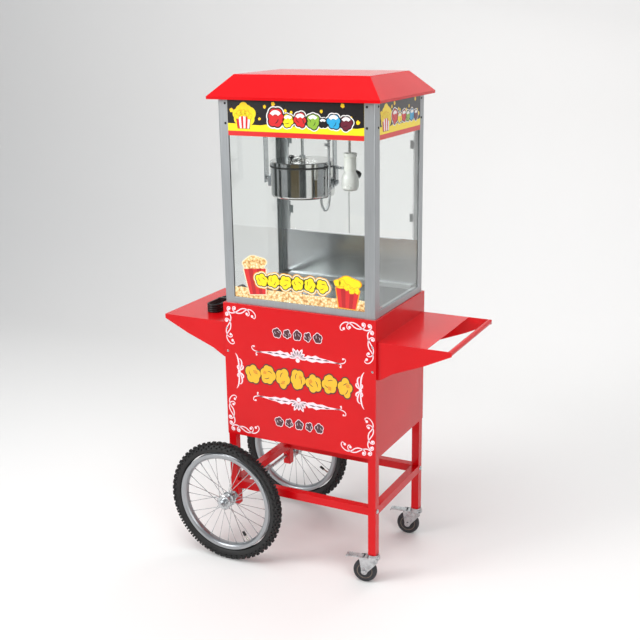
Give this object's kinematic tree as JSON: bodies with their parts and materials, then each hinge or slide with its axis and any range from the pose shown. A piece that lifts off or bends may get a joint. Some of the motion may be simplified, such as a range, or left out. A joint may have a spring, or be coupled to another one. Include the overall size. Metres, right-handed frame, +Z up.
{
  "type": "popcorn cart",
  "caption": "Wheeled popcorn cart: glazed popping case with tipping kettle and lamp on a sheet-metal cabinet with side shelves, spoked wheels and braked castors.",
  "frame": {"origin": "middle of the bounding box on the floor, under the cabinet's centre", "axes": "+X right along the front, towards the shelf with the handle; -Y out of the front glass; +Z up"},
  "size_m": [0.964, 0.5436, 1.524],
  "materials": {
    "red_paint": "gloss",
    "zinc_plate": "satin",
    "bright_steel": "polished",
    "tyre_rubber": "matte",
    "rim_alloy": "satin",
    "castor_rubber": "matte",
    "satin_alloy": "satin",
    "clear_glass": "polished",
    "banner_print": "gloss",
    "brushed_sheet": "brushed",
    "kettle_polish": "polished",
    "black_rubber": "satin",
    "black_plastic": "gloss",
    "conduit_steel": "satin",
    "white_plastic": "satin",
    "bulb_glass": "satin"
  },
  "bodies": {
    "cart": {"legs_left": "red_paint", "legs_right": "red_paint", "lower_rails": "red_paint", "cabinet_front": "red_paint", "cabinet_sides": "red_paint", "cabinet_floor": "red_paint", "cabinet_top": "red_paint", "shelf_left": "red_paint", "shelf_right": "red_paint", "shelf_handle": "red_paint", "frame_fasteners": "zinc_plate", "hinge_pins": "bright_steel", "wheel_axle": "zinc_plate", "castor_heads": "zinc_plate", "base_tray": "satin_alloy", "corner_posts": "satin_alloy", "glass_front": "clear_glass", "glass_sides": "clear_glass", "banner_panels": "banner_print", "hood": "brushed_sheet", "roof": "red_paint", "rear_sill": "bright_steel", "kettle_hangers": "brushed_sheet", "stirrer_motor": "brushed_sheet", "conduit_drop": "conduit_steel", "lamp_holder": "white_plastic", "bulb": "bulb_glass", "cord_gland": "black_rubber", "cord_lead": "black_rubber", "cord_hank": "black_rubber", "cord_tie": "black_plastic", "cord_plug": "black_plastic"},
    "wheel_front": {"wheel_front_tyre": "tyre_rubber", "wheel_front_rim": "rim_alloy", "wheel_front_spokes": "bright_steel", "wheel_front_hub": "zinc_plate"},
    "wheel_rear": {"wheel_rear_tyre": "tyre_rubber", "wheel_rear_rim": "rim_alloy", "wheel_rear_spokes": "bright_steel", "wheel_rear_hub": "zinc_plate"},
    "castor_front": {"castor_front_fork": "zinc_plate"},
    "castor_front_roller": {"castor_front_wheel": "castor_rubber"},
    "castor_front_pedal": {"castor_front_brake": "zinc_plate"},
    "castor_rear": {"castor_rear_fork": "zinc_plate"},
    "castor_rear_roller": {"castor_rear_wheel": "castor_rubber"},
    "castor_rear_pedal": {"castor_rear_brake": "zinc_plate"},
    "case_door_left": {"door_left": "clear_glass"},
    "case_door_right": {"door_right": "clear_glass"},
    "cabinet_hatch": {"cabinet_door": "red_paint"},
    "kettle": {"kettle_pan": "kettle_polish", "kettle_band": "black_rubber", "lid_fixed": "kettle_polish", "dump_handle": "bright_steel", "handle_grip": "black_plastic", "conduit_loop": "conduit_steel"},
    "kettle_flap": {"lid_flap": "kettle_polish"},
    "stir_shaft": {"stirrer": "bright_steel"},
    "rocker_heat": {"switch_heat": "black_plastic"},
    "rocker_stir": {"switch_stir": "black_plastic"},
    "rocker_light": {"switch_light": "black_plastic"}
  },
  "joints": [
    {"name": "wheel_front_spin", "type": "hinge", "parent": "cart", "child": "wheel_front", "pos_m": [-0.245, -0.236, 0.2], "axis": [0, 1, 0], "continuous": true},
    {"name": "wheel_rear_spin", "type": "hinge", "parent": "cart", "child": "wheel_rear", "pos_m": [-0.245, 0.236, 0.2], "axis": [0, 1, 0], "continuous": true},
    {"name": "castor_front_swivel", "type": "hinge", "parent": "cart", "child": "castor_front", "pos_m": [0.242, -0.174, 0.09], "axis": [0, 0, 1], "continuous": true},
    {"name": "castor_front_roll", "type": "hinge", "parent": "castor_front", "child": "castor_front_roller", "pos_m": [0.21625, -0.17762, 0.0375], "axis": [-0.1392, 0.9903, 0], "continuous": true},
    {"name": "castor_front_brake", "type": "hinge", "parent": "castor_front", "child": "castor_front_pedal", "pos_m": [0.20635, -0.17901, 0.081], "axis": [-0.1392, 0.9903, 0], "range_deg": [-12, 0]},
    {"name": "castor_rear_swivel", "type": "hinge", "parent": "cart", "child": "castor_rear", "pos_m": [0.242, 0.174, 0.09], "axis": [0, 0, 1], "continuous": true},
    {"name": "castor_rear_roll", "type": "hinge", "parent": "castor_rear", "child": "castor_rear_roller", "pos_m": [0.21625, 0.17038, 0.0375], "axis": [-0.1392, 0.9903, 0], "continuous": true},
    {"name": "castor_rear_brake", "type": "hinge", "parent": "castor_rear", "child": "castor_rear_pedal", "pos_m": [0.20635, 0.16899, 0.081], "axis": [-0.1392, 0.9903, 0], "range_deg": [-12, 0]},
    {"name": "case_door_left_hinge", "type": "hinge", "parent": "cart", "child": "case_door_left", "pos_m": [-0.218, 0.184, 1.181], "axis": [0, 0, 1], "range_deg": [0, 110]},
    {"name": "case_door_right_hinge", "type": "hinge", "parent": "cart", "child": "case_door_right", "pos_m": [0.218, 0.184, 1.181], "axis": [0, 0, 1], "range_deg": [-110, 0]},
    {"name": "cabinet_hatch_hinge", "type": "hinge", "parent": "cart", "child": "cabinet_hatch", "pos_m": [0.229, 0.192, 0.63], "axis": [0, 0, 1], "range_deg": [-110, 0]},
    {"name": "kettle_tip", "type": "hinge", "parent": "cart", "child": "kettle", "pos_m": [-0.07, 0, 1.205], "axis": [1, 0, 0], "range_deg": [0, 90]},
    {"name": "kettle_flap_hinge", "type": "hinge", "parent": "kettle", "child": "kettle_flap", "pos_m": [-0.0825, 0, 1.268], "axis": [0, 1, 0], "range_deg": [0, 70]},
    {"name": "stir_spin", "type": "hinge", "parent": "kettle", "child": "stir_shaft", "pos_m": [-0.07, 0, 1.2], "axis": [0, 0, 1], "continuous": true},
    {"name": "rocker_heat_press", "type": "hinge", "parent": "cart", "child": "rocker_heat", "pos_m": [0.06, 0.179, 1.405], "axis": [1, 0, 0], "range_deg": [0, 16]},
    {"name": "rocker_stir_press", "type": "hinge", "parent": "cart", "child": "rocker_stir", "pos_m": [0.1, 0.179, 1.405], "axis": [1, 0, 0], "range_deg": [0, 16]},
    {"name": "rocker_light_press", "type": "hinge", "parent": "cart", "child": "rocker_light", "pos_m": [0.14, 0.179, 1.405], "axis": [1, 0, 0], "range_deg": [0, 16]}
  ]
}
